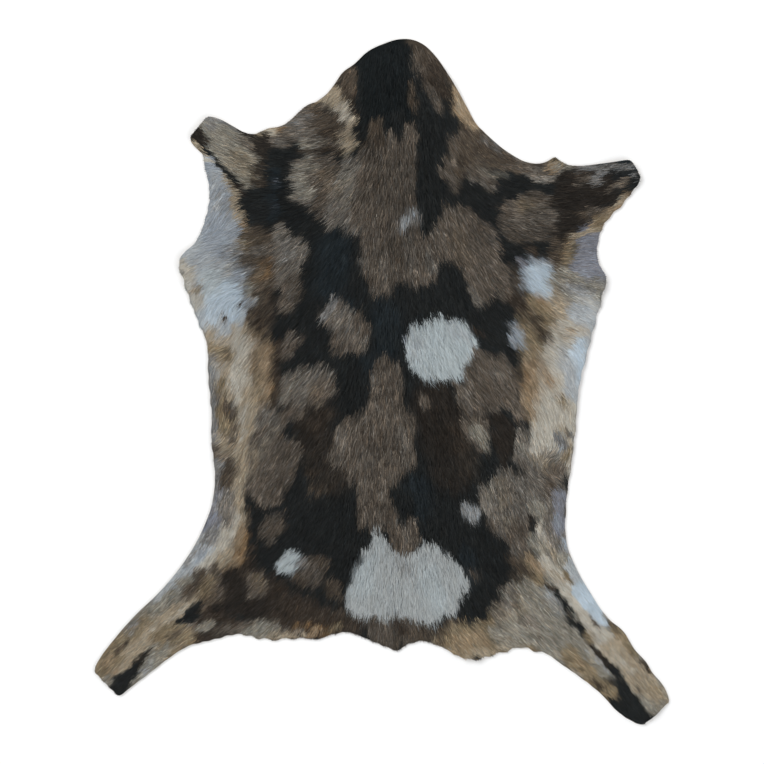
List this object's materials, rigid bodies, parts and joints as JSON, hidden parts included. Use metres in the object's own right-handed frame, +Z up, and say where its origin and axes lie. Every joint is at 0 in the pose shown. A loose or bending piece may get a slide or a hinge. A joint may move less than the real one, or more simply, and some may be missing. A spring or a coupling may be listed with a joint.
{
  "type": "goatskin rug",
  "caption": "Flat hair-on goatskin rug in the hide's natural outline, with rounded neck, cut forelegs, drawn-in flanks, hind shanks and tail tuft, to lie on a floor, bench or bed.",
  "frame": {"origin": "middle of the hide's outline, on the surface it lies on", "axes": "+Y along the spine from tail to neck, +X to the right as seen from above with the neck away from the viewer, +Z up through the hair"},
  "size_m": [0.7174, 0.8568, 0.0113],
  "materials": {
    "goat_hair": "lying goat hair, black and taupe with pale spots and buff flanks, soft satin sheen",
    "tanned_skin": "matte tanned flesh side and cut edge"
  },
  "bodies": {
    "root": {"goatskin": "goat_hair"}
  },
  "joints": []
}
